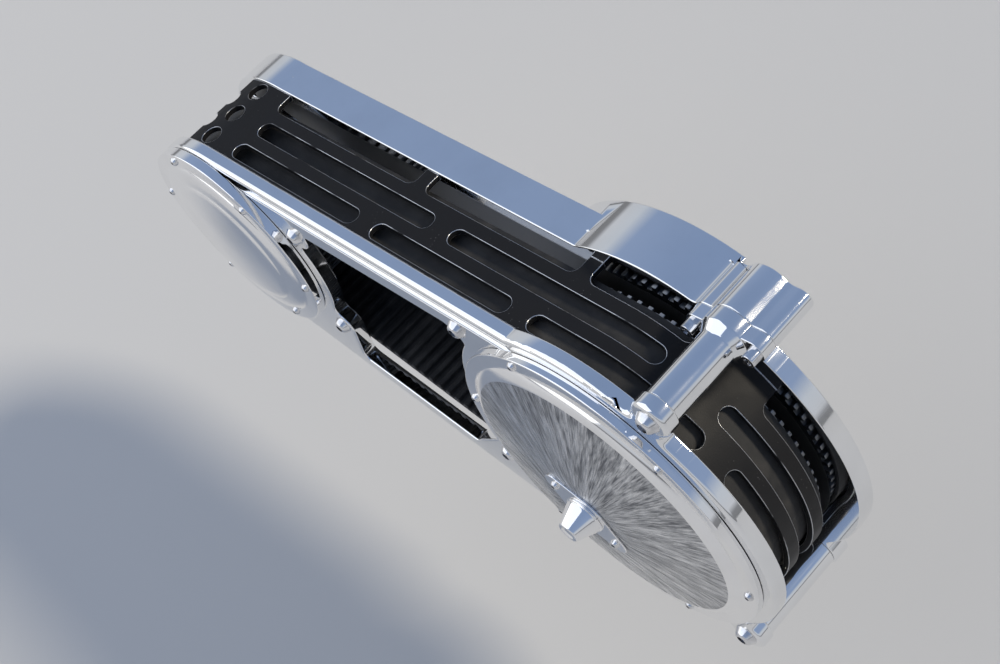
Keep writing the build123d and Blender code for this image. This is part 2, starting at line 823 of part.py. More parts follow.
pack_inboard = drum_inboard + drum_web
pack_outboard = pack_inboard + clutch_pack_length
hub_neck_out = web_back + hub_neck_set_back
with BuildPart() as clutch_hub:
    with BuildSketch(at(drum_inboard)):
        with Locations((centre_distance, 0)):
            Circle(clutch_hub_radius - clutch_pack_fit)
    extrude(amount=pack_outboard - drum_inboard)
    # the neck runs in the mainshaft bearing
    with BuildSketch(at(hub_neck_out)):
        with Locations((centre_distance, 0)):
            Circle(mainshaft_bearing_inner - hub_neck_clearance)
    extrude(amount=drum_inboard - hub_neck_out)
    with BuildSketch(at(hub_neck_out)):
        with Locations((centre_distance, 0)):
            Circle(mainshaft_bore_radius)
    extrude(amount=pack_outboard - hub_neck_out, mode=Mode.SUBTRACT)
finish("clutch_hub", clutch_hub)

with BuildPart() as clutch_pack:
    with BuildSketch(at(pack_inboard)):
        with Locations((centre_distance, 0)):
            Circle(drum_inner - clutch_pack_fit)
            Circle(clutch_hub_radius, mode=Mode.SUBTRACT)
    extrude(amount=clutch_pack_length)
finish("clutch_pack", clutch_pack)

with BuildPart() as pressure_plate:
    with BuildSketch(at(pack_outboard)):
        with Locations((centre_distance, 0)):
            Circle(drum_inner - pressure_plate_inset)
    extrude(amount=pressure_plate_thickness)
finish("pressure_plate", pressure_plate)

# Bearing of the mainshaft in the motor plate
with BuildPart() as mainshaft_bearing:
    with BuildSketch(at(web_back)):
        with Locations((centre_distance, 0)):
            Circle(mainshaft_opening_radius - mainshaft_bearing_fit)
            Circle(mainshaft_bearing_inner, mode=Mode.SUBTRACT)
    extrude(amount=motor_web)
finish("mainshaft_bearing", mainshaft_bearing)
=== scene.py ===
# %% [markdown]
# # An open primary belt drive
# This lesson dresses a motorcycle's open primary drive: two polished plates joined by standoffs,
# a toothed belt between a crankshaft pulley and a clutch drum, a black guard over the belt, and
# two round covers. The solids come from CAD. Here they get fine edges, screws and finishes.

import json
import math

import bmesh
import bpy
from mathutils import Matrix, Vector


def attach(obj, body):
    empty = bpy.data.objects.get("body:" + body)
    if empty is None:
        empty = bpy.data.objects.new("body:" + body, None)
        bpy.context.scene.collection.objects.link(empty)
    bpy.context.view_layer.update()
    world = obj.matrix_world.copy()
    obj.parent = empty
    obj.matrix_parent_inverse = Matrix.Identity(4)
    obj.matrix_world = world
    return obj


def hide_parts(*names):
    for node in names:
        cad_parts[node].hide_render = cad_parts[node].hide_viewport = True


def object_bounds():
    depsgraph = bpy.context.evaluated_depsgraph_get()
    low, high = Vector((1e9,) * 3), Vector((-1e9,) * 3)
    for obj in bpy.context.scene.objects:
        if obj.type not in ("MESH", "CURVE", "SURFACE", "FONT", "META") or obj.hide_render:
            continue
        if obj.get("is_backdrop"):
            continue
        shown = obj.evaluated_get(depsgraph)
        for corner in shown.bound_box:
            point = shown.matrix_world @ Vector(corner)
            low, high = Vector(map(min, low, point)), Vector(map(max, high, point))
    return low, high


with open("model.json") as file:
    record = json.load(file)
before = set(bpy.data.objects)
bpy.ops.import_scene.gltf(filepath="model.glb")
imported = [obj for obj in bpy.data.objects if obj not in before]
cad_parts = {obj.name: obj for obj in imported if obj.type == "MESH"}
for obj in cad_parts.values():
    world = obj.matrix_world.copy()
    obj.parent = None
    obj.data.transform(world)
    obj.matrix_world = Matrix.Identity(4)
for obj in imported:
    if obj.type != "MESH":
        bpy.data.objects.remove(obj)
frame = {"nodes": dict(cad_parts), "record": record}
cad_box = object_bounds()
scene = bpy.context.scene
print("nodes:", len(frame["nodes"]))
for corner in cad_box:
    print("box corner:", [round(v, 4) for v in corner])

# %% [markdown]
# ## Places and units
# The CAD works in millimetres and counts outboard from the engine face. Blender works in metres
# with Y pointing inboard, so one small function turns "this far out" into a Y coordinate, and
# the two shafts get a name each.

# %% Places
MM = 0.001
CRANK_X = 0.0
CLUTCH_X = 330.0


def place(x, out, z):
    """A point in metres, from millimetres rearwards, outboard and up."""
    return Vector((x * MM, -out * MM, z * MM))


def round_shaft(shaft_x, radius, angle, out):
    """A point at this radius and angle round one of the shafts."""
    turn = math.radians(angle)
    return place(shaft_x + radius * math.cos(turn), out, radius * math.sin(turn))


print("clutch shaft at", place(CLUTCH_X, 0, 0))

# %% [markdown]
# ## Camera
# The photograph looks down on the drive from behind and outboard. Its lens and place were worked
# out from the two round covers, so the camera's own axes are written straight into its matrix.

# %% Camera
CAMERA_PLACE = (747.76, -344.36, 816.61)  # in mm, in Blender's axes
CAMERA_RIGHT = (0.70779, 0.66605, -0.23538)
CAMERA_DOWN = (0.46498, -0.69011, -0.55457)
CAMERA_AHEAD = (-0.53181, 0.28307, -0.79815)
CAMERA_LENS = 60.36
SENSOR_WIDTH = 36.0

camera = bpy.data.objects.new("camera", bpy.data.cameras.new("camera"))
scene.collection.objects.link(camera)
camera.data.lens = CAMERA_LENS
camera.data.sensor_width = SENSOR_WIDTH
camera.data.clip_start = 0.01
camera_axes = Matrix((CAMERA_RIGHT, -Vector(CAMERA_DOWN), -Vector(CAMERA_AHEAD))).transposed()
camera.matrix_world = Matrix.Translation(Vector(CAMERA_PLACE) * MM) @ camera_axes.to_4x4()
scene.camera = camera
scene.view_settings.view_transform = "Standard"
print("camera", [round(v, 3) for v in camera.location])

# %% [markdown]
# ## Floor and light
# Polished metal shows its surroundings, so the room matters as much as the metal. The floor is a
# plain pale sheet about 30 cm under the crankshaft. The world is a soft gradient like a clear sky:
# a dim line at the horizon, pale above it, and blue overhead. Rounded chrome sweeps through all
# of it within a few millimetres, which gives it its dark, white and blue bands.

# %% Floor and world
FLOOR_Z = -300.0
FLOOR_HALF = 20.0

floor_mesh = bmesh.new()
bmesh.ops.create_grid(floor_mesh, x_segments=1, y_segments=1, size=FLOOR_HALF)
bmesh.ops.translate(floor_mesh, vec=place(0, 0, FLOOR_Z), verts=floor_mesh.verts)
floor_data = bpy.data.meshes.new("floor")
floor_mesh.to_mesh(floor_data)
floor_mesh.free()
floor = bpy.data.objects.new("floor", floor_data)
scene.collection.objects.link(floor)
floor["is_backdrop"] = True

floor_finish = bpy.data.materials.new("floor_finish")
floor_finish.use_nodes = True
floor_shader = floor_finish.node_tree.nodes["Principled BSDF"]
floor_shader.inputs["Base Color"].default_value = (0.52, 0.515, 0.505, 1)
floor_shader.inputs["Roughness"].default_value = 0.9
floor_data.materials.append(floor_finish)

world = bpy.data.worlds.new("studio")
scene.world = world
world.use_nodes = True
sky = world.node_tree
sky_direction = sky.nodes.new("ShaderNodeTexCoord")
sky_split = sky.nodes.new("ShaderNodeSeparateXYZ")
sky_ramp = sky.nodes.new("ShaderNodeValToRGB")
sky.links.new(sky_direction.outputs["Generated"], sky_split.inputs[0])
sky.links.new(sky_split.outputs["Z"], sky_ramp.inputs["Fac"])
sky.links.new(sky_ramp.outputs["Color"], sky.nodes["Background"].inputs["Color"])
sky_table = [
    # height above the horizon, colour
    (0.0, (0.20, 0.205, 0.215, 1)),
    (0.05, (0.22, 0.225, 0.24, 1)),
    (0.11, (0.54, 0.56, 0.60, 1)),
    (0.28, (0.52, 0.56, 0.62, 1)),
    (0.44, (0.25, 0.33, 0.50, 1)),
    (0.90, (0.21, 0.29, 0.46, 1)),
]
sky_bands = sky_ramp.color_ramp.elements
for band, (height, colour) in zip(sky_bands, (sky_table[0], sky_table[-1])):
    band.position, band.color = height, colour
for height, colour in sky_table[1:-1]:
    sky_bands.new(height).color = colour
print("sky bands:", len(sky_bands))

# %% [markdown]
# The key is a broad sun, high behind the drive and inboard of it, so the drive's soft shadow
# falls on the floor in front of the covers and their flat faces mirror it as a quiet grey. A
# large pale panel, ahead of the drive and outboard, is what every rounded edge on that side
# mirrors as a white line.

# %% Lamps
LAMP_TARGET = Vector((0.18, -0.05, 0.0))
SUN_FROM = Vector((1.76, 1.6, 2.0))
SUN_COLOUR = (1.0, 0.90, 0.72)
SUN_WIDTH = 0.20  # as an angle, in radians
PANEL_FROM = Vector((-2.64, -2.42, 2.56))
PANEL_SIDE = 6.2


def add_lamp(name, kind, lamp_place, **settings):
    """A lamp at a place in metres, turned to the drive and unseen by the camera itself."""
    lamp = bpy.data.objects.new(name, bpy.data.lights.new(name, kind))
    scene.collection.objects.link(lamp)
    for key, value in settings.items():
        setattr(lamp.data, key, value)
    aim = (LAMP_TARGET - lamp_place).to_track_quat("-Z", "Y").to_matrix().to_4x4()
    lamp.matrix_world = Matrix.Translation(lamp_place) @ aim
    lamp.visible_camera = False
    return lamp


sun = {"energy": 2.7, "angle": SUN_WIDTH, "color": SUN_COLOUR}
panel = {"energy": 104.0, "size": PANEL_SIDE}
lamps = [
    add_lamp("key_lamp", "SUN", LAMP_TARGET + SUN_FROM, **sun),
    add_lamp("panel_lamp", "AREA", LAMP_TARGET + PANEL_FROM, **panel),
]
print("lamps:", [lamp.name for lamp in lamps])

# %% [markdown]
# ## Shared surface effects
# Real finishes share a few effects: polishing marks with hairline scratches, the rings a lathe
# leaves, and brushed streaks. Each is a node group with named sockets, made once. A group only
# gives values that change over the surface, and each finish decides what to do with them.

# %% Node helpers


def new_group(name, inputs, outputs):
    """An empty node group with number or vector inputs and number outputs."""
    tree = bpy.data.node_groups.new(name, "ShaderNodeTree")
    for socket_name, kind, value in inputs:
        socket = tree.interface.new_socket(socket_name, in_out="INPUT", socket_type=kind)
        if kind == "NodeSocketFloat":
            socket.default_value = value
    for socket_name in outputs:
        tree.interface.new_socket(socket_name, in_out="OUTPUT", socket_type="NodeSocketFloat")
    entry = tree.nodes.new("NodeGroupInput")
    leave = tree.nodes.new("NodeGroupOutput")
    return tree, entry, leave


def node(tree, kind, wires=None, **settings):
    """A node with its settings, and each input either wired to a socket or given a value."""
    made = tree.nodes.new(kind)
    for key, value in settings.items():
        setattr(made, key, value)
    for key, value in (wires or {}).items():
        if isinstance(value, bpy.types.NodeSocket):
            tree.links.new(value, made.inputs[key])
        else:
            made.inputs[key].default_value = value
    return made


def ranged(tree, value, low, high, to_low=0.0, to_high=1.0):
    """The value with low..high spread over to_low..to_high, and held at its ends."""
    ends = {"Value": value, "From Min": low, "From Max": high, "To Min": to_low, "To Max": to_high}
    return node(tree, "ShaderNodeMapRange", ends).outputs["Result"]


def maths(tree, what, first, second):
    """One arithmetic step between two numbers."""
    return node(tree, "ShaderNodeMath", {0: first, 1: second}, operation=what).outputs[0]


print("node helpers ready")

# %% [markdown]
# Polishing marks come from a buffing wheel: cloudy patches a few centimetres wide, and hairlines.
# The clouds are soft noise. The hairlines are noise stretched a hundred times along one way, cut
# to its thinnest peaks, in two crossing directions.

# %% Polishing marks
polish_marks, polish_in, polish_out = new_group(
    "polish_marks",
    [("Vector", "NodeSocketVector", None), ("Cloud Scale", "NodeSocketFloat", 22.0)],
    ["Haze", "Hairlines"],
)
cloud = node(
    polish_marks,
    "ShaderNodeTexNoise",
    {
        "Vector": polish_in.outputs["Vector"],
        "Scale": polish_in.outputs["Cloud Scale"],
        "Detail": 5.0,
    },
)
haze = ranged(polish_marks, cloud.outputs["Fac"], 0.42, 0.72)
polish_marks.links.new(haze, polish_out.inputs["Haze"])
hairline_sets = []
for turn, stretch in ((0.4, (6.0, 6.0, 900.0)), (-0.9, (5.0, 5.0, 700.0))):
    turned = node(
        polish_marks,
        "ShaderNodeMapping",
        {"Vector": polish_in.outputs["Vector"], "Rotation": (0.3, turn, 0.2), "Scale": stretch},
    )
    stroke = node(
        polish_marks,
        "ShaderNodeTexNoise",
        {"Vector": turned.outputs["Vector"], "Scale": 1.0, "Detail": 2.0},
    )
    hairline_sets.append(ranged(polish_marks, stroke.outputs["Fac"], 0.66, 0.74))
hairlines = maths(polish_marks, "MAXIMUM", *hairline_sets)
polish_marks.links.new(hairlines, polish_out.inputs["Hairlines"])
print("polish_marks:", len(polish_marks.nodes), "nodes")

# %% [markdown]
# A lathe leaves fine rings round the part's own axis. The distance from the axis drives a noise
# in one dimension, so the rings are unevenly spaced, as real tool marks are. Brushing from the
# middle outwards is the opposite: the noise reads the direction from the axis at a high scale
# and the distance at a low one, which draws it out into streaks without a seam.

# %% Lathe rings and radial brushing


def from_axis(tree, vector):
    """How far along the axis a point lies, its place across the axis, and its distance from it."""
    split = node(tree, "ShaderNodeSeparateXYZ", {0: vector})
    across = {"X": split.outputs["X"], "Z": split.outputs["Z"]}
    flat = node(tree, "ShaderNodeCombineXYZ", across).outputs[0]
    length = node(tree, "ShaderNodeVectorMath", {0: flat}, operation="LENGTH")
    return split.outputs["Y"], flat, length.outputs["Value"]


ring_inputs = [("Vector", "NodeSocketVector", None), ("Rings", "NodeSocketFloat", 900.0)]
lathe_rings, lathe_in, lathe_out = new_group("lathe_rings", ring_inputs, ["Rings"])
lathe_depth, _, lathe_radius = from_axis(lathe_rings, lathe_in.outputs["Vector"])
lathe_run = maths(lathe_rings, "ADD", lathe_radius, lathe_depth)
lathe_noise = node(
    lathe_rings,
    "ShaderNodeTexNoise",
    {"W": lathe_run, "Scale": lathe_in.outputs["Rings"], "Detail": 3.0},
    noise_dimensions="1D",
)
lathe_rings.links.new(lathe_noise.outputs["Fac"], lathe_out.inputs["Rings"])

radial_brush, brush_in, brush_out = new_group(
    "radial_brush",
    [
        ("Vector", "NodeSocketVector", None),
        ("Streaks", "NodeSocketFloat", 40.0),
        ("Length", "NodeSocketFloat", 30.0),
    ],
    ["Streaks"],
)
_, brush_flat, brush_radius = from_axis(radial_brush, brush_in.outputs["Vector"])
brush_way = node(radial_brush, "ShaderNodeVectorMath", {0: brush_flat}, operation="NORMALIZE")
brush_fan = node(
    radial_brush,
    "ShaderNodeVectorMath",
    {0: brush_way.outputs[0], "Scale": brush_in.outputs["Streaks"]},
    operation="SCALE",
)
brush_noise = node(
    radial_brush,
    "ShaderNodeTexNoise",
    {
        "Vector": brush_fan.outputs[0],
        "W": maths(radial_brush, "MULTIPLY", brush_radius, brush_in.outputs["Length"]),
        "Scale": 1.0,
        "Detail": 3.0,
        "Roughness": 0.6,
    },
    noise_dimensions="4D",
)
radial_brush.links.new(brush_noise.outputs["Fac"], brush_out.inputs["Streaks"])
for group in (lathe_rings, radial_brush):
    print(group.name + ":", len(group.nodes), "nodes")

# %% [markdown]
# ## Finishes
# Every finish starts the same way: a Principled shader, and Object coordinates moved so that the
# pattern is centred on a shaft. A helper makes that start, and each finish then wires its own
# colour, roughness and bump.

# %% A finish to start from
MIX_FIRST, MIX_SECOND, MIX_RESULT = 6, 7, 2  # the colour sockets of a Mix node


def new_finish(name, metallic, centre_x=CRANK_X, **constants):
    """A material with its tree, its shader and coordinates centred on one of the shafts."""
    material = bpy.data.materials.new(name)
    material.use_nodes = True
    tree = material.node_tree
    shader = tree.nodes["Principled BSDF"]
    shader.inputs["Metallic"].default_value = metallic
    for key, value in constants.items():
        shader.inputs[key.replace("_", " ")].default_value = value
    coordinates = node(tree, "ShaderNodeTexCoord")
    centred = node(
        tree,
        "ShaderNodeMapping",
        {"Vector": coordinates.outputs["Object"], "Location": (-centre_x * MM, 0, 0)},
    )
    return material, tree, shader, centred.outputs["Vector"]


def grouped(tree, group, **values):
    """A node group placed in a tree, with its inputs wired or set."""
    made = tree.nodes.new("ShaderNodeGroup")
    made.node_tree = group
    for key, value in values.items():
        socket = made.inputs[key.replace("_", " ")]
        if isinstance(value, bpy.types.NodeSocket):
            tree.links.new(value, socket)
        else:
            socket.default_value = value
    return made


def mixed(tree, factor, first, second):
    """A colour between two colours, or between sockets, by a mask."""
    ends = {}
    for key, colour in ((MIX_FIRST, first), (MIX_SECOND, second)):
        ends[key] = colour if isinstance(colour, bpy.types.NodeSocket) else (*colour, 1)
    mix = node(tree, "ShaderNodeMix", {0: factor, **ends}, data_type="RGBA")
    return mix.outputs[MIX_RESULT]


def coloured(tree, shader, factor, first, second):
    """Base colour between two colours, by a mask."""
    tree.links.new(mixed(tree, factor, first, second), shader.inputs["Base Color"])


def roughened(tree, shader, roughness):
    """Roughness from a mask or a sum."""
    tree.links.new(roughness, shader.inputs["Roughness"])


def bumped(tree, shader, height, depth_mm):
    """A bump of this depth in millimetres."""
    bump = node(tree, "ShaderNodeBump", {"Height": height, "Distance": depth_mm * MM})
    tree.links.new(bump.outputs["Normal"], shader.inputs["Normal"])


print("finish helpers ready")

# %% [markdown]
# The plates and standoffs are billet aluminium buffed to a mirror. Hand buffing leaves the
# surface a touch wavy, which makes reflections swim; a shallow, broad bump does that. Haze
# and hairlines only lift the roughness a little. Nobody can reach inside the belt with a buffing
# wheel, so there the motor plate stays dull. Its colour there is also painted near black as
# painted shade, for the shade inside the drive and the dark belt that the plate mirrors there.
# A mask in the plate's own coordinates finds that area: the distance from the line between the
# shafts.

# %% Mirror-polished plates
# The dull area is also where the plate is painted near black as painted shade.
INSIDE_FRONT, INSIDE_REAR = 66.0, 98.0  # how far the dull area reaches from each shaft
INSIDE_FADE = 2.0
WEB_FACE = 25.0  # the motor plate's face towards the belt


def inside_belt(tree, where):
    """A mask of the space within the belt's loop, outboard of the motor plate's web."""
    split = node(tree, "ShaderNodeSeparateXYZ", {0: where})
    along = ranged(tree, split.outputs["X"], 0.0, CLUTCH_X * MM)
    nearest = maths(tree, "MULTIPLY", along, CLUTCH_X * MM)
    past = maths(tree, "SUBTRACT", split.outputs["X"], nearest)
    flat = node(tree, "ShaderNodeCombineXYZ", {"X": past, "Z": split.outputs["Z"]})
    reach = node(tree, "ShaderNodeVectorMath", {0: flat.outputs[0]}, operation="LENGTH")
    limit = ranged(tree, along, 0.0, 1.0, INSIDE_FRONT * MM, INSIDE_REAR * MM)
    beyond = maths(tree, "SUBTRACT", reach.outputs["Value"], limit)
    near = ranged(tree, beyond, 0.0, INSIDE_FADE * MM, 1.0, 0.0)
    outboard = ranged(
        tree, split.outputs["Y"], -(WEB_FACE + 0.1) * MM, -(WEB_FACE - 0.5) * MM, 1.0, 0.0
    )
    return maths(tree, "MULTIPLY", near, outboard)


def plate_finish(name, dull_and_painted_shade_inside):
    """Buffed alloy, with or without the dull area within the belt, which is painted near black as
    shade.
    """
    material, tree, shader, where = new_finish(name, 1.0)
    marks = grouped(tree, polish_marks, Vector=where, Cloud_Scale=24.0)
    wave = node(tree, "ShaderNodeTexNoise", {"Vector": where, "Scale": 38.0, "Detail": 1.0})
    haze = marks.outputs["Haze"]
    polish = mixed(tree, haze, (0.90, 0.905, 0.91), (0.84, 0.845, 0.85))
    lines = maths(tree, "MULTIPLY", marks.outputs["Hairlines"], 0.10)
    roughness = maths(tree, "ADD", ranged(tree, haze, 0.0, 1.0, 0.035, 0.11), lines)
    if dull_and_painted_shade_inside:
        dull_and_painted_shade = inside_belt(tree, where)
        # Painted shade: within the belt the base colour goes near black.
        coloured(tree, shader, dull_and_painted_shade, polish, (0.055, 0.055, 0.057))
        roughness = maths(tree, "MAXIMUM", roughness, maths(tree, "MULTIPLY", dull_and_painted_shade, 0.5))
    else:
        tree.links.new(polish, shader.inputs["Base Color"])
    roughened(tree, shader, roughness)
    scored = maths(tree, "MULTIPLY", lines, -0.2)
    bumped(tree, shader, maths(tree, "ADD", wave.outputs["Fac"], scored), 0.07)
    return material


mirror_plate = plate_finish("mirror_plate", False)
motor_plate_finish = plate_finish("motor_plate_finish", True)
print(mirror_plate.name, motor_plate_finish.name)

# %% [markdown]
# The covers and the nose are chromed: brighter and flatter than buffed alloy, with faint lathe
# rings under the plating and a few finger smudges.

# %% Chrome


def chrome_finish(name, centre_x):
    """Chrome plating over turned metal, with its rings centred on a shaft."""
    material, tree, shader, where = new_finish(name, 1.0, centre_x)
    marks = grouped(tree, polish_marks, Vector=where, Cloud_Scale=30.0)
    rings = grouped(tree, lathe_rings, Vector=where, Rings=260.0)
    haze = marks.outputs["Haze"]
    coloured(tree, shader, haze, (0.93, 0.93, 0.935), (0.87, 0.87, 0.875))
    lines = maths(tree, "MULTIPLY", marks.outputs["Hairlines"], 0.06)
    roughened(tree, shader, maths(tree, "ADD", ranged(tree, haze, 0.0, 1.0, 0.02, 0.09), lines))
    bumped(tree, shader, rings.outputs["Rings"], 0.004)
    return material


front_chrome = chrome_finish("front_chrome", CRANK_X)
rear_chrome = chrome_finish("rear_chrome", CLUTCH_X)
print(front_chrome.name, rear_chrome.name)

# %% [markdown]
# The middle of the rear cover is brushed outwards from the nose in overlapping strokes, so it
# sparkles like frost on glass. Two sets of streaks, broad and fine, change the tilt of the
# surface, and the tilt is what throws light sideways into fans. The same streaks also paint the
# base colour from near black to near white: painted highlights and painted shade that stand in
# for the bright and dark fans of brushed metal.

# %% Radially brushed cone
brushed_cone, tree, shader, where = new_finish("brushed_cone", 1.0, CLUTCH_X)
broad = grouped(tree, radial_brush, Vector=where, Streaks=14.0, Length=34.0)
fine = grouped(tree, radial_brush, Vector=where, Streaks=70.0, Length=95.0)
both = maths(
    tree,
    "ADD",
    maths(tree, "MULTIPLY", broad.outputs["Streaks"], 0.45),
    maths(tree, "MULTIPLY", fine.outputs["Streaks"], 0.55),
)
streaks_with_painted_sheen = ranged(tree, both, 0.40, 0.66)
# Painted highlight and painted shade: the streaks set the base colour between near black and near
# white.
coloured(tree, shader, streaks_with_painted_sheen, (0.16, 0.165, 0.18), (0.88, 0.89, 0.91))
roughened(tree, shader, ranged(tree, streaks_with_painted_sheen, 0.0, 1.0, 0.36, 0.18))
bumped(tree, shader, both, 0.35)
print(brushed_cone.name)

# %% [markdown]
# The guard is aluminium with a satin black coating. Close up the coating is a fine orange peel
# with pale specks of dust, and it has rubbed through along the cut edges, which show as thin
# bright lines. The bevel made later marks those faces with an attribute named "edge".

# %% Black guard
black_coat, tree, shader, where = new_finish("black_coat", 0.0, Specular_IOR_Level=0.14)
peel = node(tree, "ShaderNodeTexNoise", {"Vector": where, "Scale": 1400.0, "Detail": 2.0})
patch = node(tree, "ShaderNodeTexNoise", {"Vector": where, "Scale": 45.0, "Detail": 4.0})
dust = node(tree, "ShaderNodeTexVoronoi", {"Vector": where, "Scale": 420.0})
edge = node(tree, "ShaderNodeAttribute", attribute_name="edge")
specks = ranged(tree, dust.outputs["Distance"], 0.05, 0.12, 1.0, 0.0)
rare = ranged(tree, patch.outputs["Fac"], 0.52, 0.66)
speck_mask = maths(tree, "MULTIPLY", specks, rare)
rubbed = ranged(tree, patch.outputs["Fac"], 0.34, 0.5)
worn = maths(tree, "MULTIPLY", edge.outputs["Fac"], rubbed)
coat = mixed(tree, speck_mask, (0.011, 0.011, 0.012), (0.16, 0.16, 0.165))
coloured(tree, shader, worn, coat, (0.55, 0.56, 0.58))
tree.links.new(worn, shader.inputs["Metallic"])
satin = ranged(tree, patch.outputs["Fac"], 0.3, 0.7, 0.40, 0.58)
roughened(tree, shader, maths(tree, "SUBTRACT", satin, maths(tree, "MULTIPLY", worn, 0.22)))
bumped(tree, shader, peel.outputs["Fac"], 0.05)
print(black_coat.name)

# %% [markdown]
# The belt is moulded rubber with a fabric face on its toothed side. A weave of two crossed sets
# of waves a third of a millimetre apart gives the fabric, and grey dust settles unevenly on it.

# %% Belt and gasket rubber
belt_rubber, tree, shader, where = new_finish("belt_rubber", 0.0)
thread_wires = {"Vector": where, "Scale": 900.0, "Distortion": 0.6}
threads = [
    node(tree, "ShaderNodeTexWave", thread_wires, bands_direction=way).outputs["Fac"]
    for way in ("X", "Y")
]
dusty = node(tree, "ShaderNodeTexNoise", {"Vector": where, "Scale": 60.0, "Detail": 5.0})
dust_mask = ranged(tree, dusty.outputs["Fac"], 0.45, 0.8)
coloured(tree, shader, dust_mask, (0.012, 0.012, 0.013), (0.050, 0.048, 0.046))
roughened(tree, shader, ranged(tree, dusty.outputs["Fac"], 0.3, 0.7, 0.58, 0.82))
bumped(tree, shader, maths(tree, "MULTIPLY", *threads), 0.06)

gasket_rubber, tree, shader, where = new_finish("gasket_rubber", 0.0)
grain = node(tree, "ShaderNodeTexNoise", {"Vector": where, "Scale": 800.0, "Detail": 3.0})
coloured(tree, shader, grain.outputs["Fac"], (0.05, 0.05, 0.052), (0.10, 0.10, 0.10))
roughened(tree, shader, ranged(tree, grain.outputs["Fac"], 0.3, 0.7, 0.6, 0.85))
bumped(tree, shader, grain.outputs["Fac"], 0.03)
print(belt_rubber.name, gasket_rubber.name)

# %% [markdown]
# Pulleys are turned alloy with a hard grey coat, and hubs, flanges and bearings are turned
# steel. Both carry lathe rings round their own shaft, so the helper takes the shaft's place.

# %% Turned metals


def turned_metal(name, centre_x, dark, light, roughness, ring_depth):
    """Metal with visible lathe rings and a little handling haze."""
    material, tree, shader, where = new_finish(name, 1.0, centre_x)
    marks = grouped(tree, polish_marks, Vector=where, Cloud_Scale=40.0)
    rings = grouped(tree, lathe_rings, Vector=where, Rings=900.0)
    spread = ranged(tree, rings.outputs["Rings"], 0.3, 0.7)
    coloured(tree, shader, spread, dark, light)
    low, high = roughness
    base = ranged(tree, marks.outputs["Haze"], 0.0, 1.0, low, high)
    roughened(tree, shader, maths(tree, "ADD", base, maths(tree, "MULTIPLY", spread, 0.06)))
    bumped(tree, shader, rings.outputs["Rings"], ring_depth)
    return material


# dark and light colour, lowest and highest roughness, depth of the rings in mm
ANODISED = ((0.16, 0.165, 0.175), (0.27, 0.28, 0.295), (0.30, 0.42), 0.03)
STEEL = ((0.46, 0.465, 0.48), (0.62, 0.625, 0.64), (0.20, 0.34), 0.03)
metal = {
    "crank_alloy": turned_metal("crank_alloy", CRANK_X, *ANODISED),
    "clutch_alloy": turned_metal("clutch_alloy", CLUTCH_X, *ANODISED),
    "crank_steel": turned_metal("crank_steel", CRANK_X, *STEEL),
    "clutch_steel": turned_metal("clutch_steel", CLUTCH_X, *STEEL),
}
print(list(metal))

# %% [markdown]
# Screws are plain bright steel. They are handled with a key, so they are hazier than the plates
# they hold, and the haze comes in much smaller patches.

# %% Screw steel
screw_steel, tree, shader, where = new_finish("screw_steel", 1.0)
marks = grouped(tree, polish_marks, Vector=where, Cloud_Scale=160.0)
coloured(tree, shader, marks.outputs["Haze"], (0.80, 0.80, 0.81), (0.55, 0.55, 0.56))
roughened(tree, shader, ranged(tree, marks.outputs["Haze"], 0.0, 1.0, 0.10, 0.26))
bumped(tree, shader, marks.outputs["Hairlines"], 0.01)
print(screw_steel.name)

# %% [markdown]
# ## Making and showing pieces
# Three helpers do most of the modelling. One rounds a mesh's sharp edges with the bevel
# operator, because no machined edge is truly sharp and the round is what catches the light.
# One turns a short outline round a shaft, like a lathe. One puts a finished mesh in the scene,
# rides it on the body it moves with, and hides the CAD solid it stands for.

# %% Rounding, turning and showing
WELD = 0.000002  # corners this near in metres are one corner
SHARP = math.radians(28)  # an edge that bends more than this gets rounded
SHADE_SHARP = math.radians(50)  # and one that still bends more than this is shaded sharp
TURN_STEPS = 144


def round_edges(bm, width_mm, segments, wanted=None):
    """Bevels the sharp edges and marks the new faces in the face attribute named edge."""
    layer = bm.faces.layers.float.get("edge") or bm.faces.layers.float.new("edge")
    sharp = [e for e in bm.edges if e.is_manifold and e.calc_face_angle(0.0) > SHARP]
    if wanted:
        sharp = [e for e in sharp if wanted(e)]
    made = bmesh.ops.bevel(
        bm,
        geom=sharp,
        offset=width_mm * MM,
        offset_type="OFFSET",
        segments=segments,
        profile=0.5,
        affect="EDGES",
        clamp_overlap=False,
        loop_slide=True,
        material=-1,
    )
    for face in made["faces"]:
        face[layer] = 1.0
    return len(sharp)


def turned_shape(shaft_x, outline):
    """A mesh turned round a shaft, from points given as radius and distance outboard."""
    bm = bmesh.new()
    points = [bm.verts.new(place(shaft_x + radius, out, 0)) for radius, out in outline]
    lines = [bm.edges.new(pair) for pair in zip(points, points[1:])]
    bmesh.ops.spin(
        bm,
        geom=points + lines,
        cent=place(shaft_x, 0, 0),
        axis=(0, 1, 0),
        angle=math.tau,
        steps=TURN_STEPS,
        use_merge=True,
    )
    bmesh.ops.remove_doubles(bm, verts=bm.verts, dist=WELD)
    bmesh.ops.recalc_face_normals(bm, faces=bm.faces)
    return bm


def show(name, bm, finishes, body, replaces=()):
    """The mesh as a piece of the scene, shaded smooth, riding on its body."""
    mesh = bpy.data.meshes.new(name)
    bm.to_mesh(mesh)
    bm.free()
    for finish in finishes:
        mesh.materials.append(finish)
    mesh.shade_smooth()
    mesh.set_sharp_from_angle(angle=SHADE_SHARP)
    piece = bpy.data.objects.new(name, mesh)
    scene.collection.objects.link(piece)
    even = piece.modifiers.new("even_shading", "WEIGHTED_NORMAL")
    even.keep_sharp = True
    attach(piece, body)
    if replaces:
        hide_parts(*replaces)
    print(name, len(mesh.polygons), "faces")


